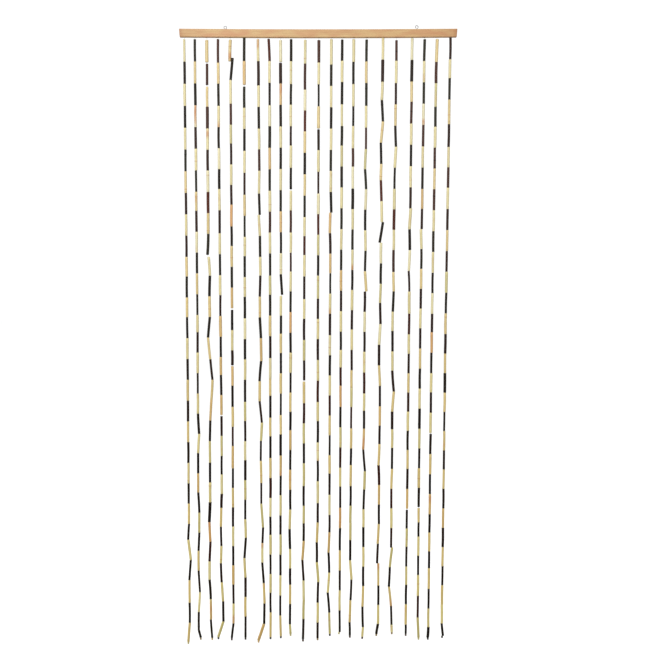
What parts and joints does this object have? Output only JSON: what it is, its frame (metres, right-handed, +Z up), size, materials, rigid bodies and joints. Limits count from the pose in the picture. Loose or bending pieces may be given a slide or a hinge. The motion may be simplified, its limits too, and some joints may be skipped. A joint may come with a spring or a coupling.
{
  "type": "bamboo bead door curtain on a wooden rail",
  "caption": "Strings of natural and dark bamboo tube beads hanging side by side from a slim wooden rail with screw eyes, to screen a doorway.",
  "frame": {"origin": "middle of the rail's top face", "axes": "+X right along the rail seen from the front, -Y towards the front, +Z up"},
  "size_m": [0.8998, 0.014, 2.0551],
  "materials": {
    "rail_wood": "satin",
    "eye_steel": "bright",
    "bamboo": "satin"
  },
  "bodies": {
    "root": {"rail": "rail_wood", "screw_eye_left": "eye_steel", "screw_eye_right": "eye_steel", "strand_01": "bamboo", "strand_02": "bamboo", "strand_03": "bamboo", "strand_04": "bamboo", "strand_05": "bamboo", "strand_06": "bamboo", "strand_07": "bamboo", "strand_08": "bamboo", "strand_09": "bamboo", "strand_10": "bamboo", "strand_11": "bamboo", "strand_12": "bamboo", "strand_13": "bamboo", "strand_14": "bamboo", "strand_15": "bamboo", "strand_16": "bamboo", "strand_17": "bamboo", "strand_18": "bamboo", "strand_19": "bamboo", "strand_20": "bamboo", "strand_21": "bamboo", "strand_22": "bamboo"}
  },
  "joints": []
}
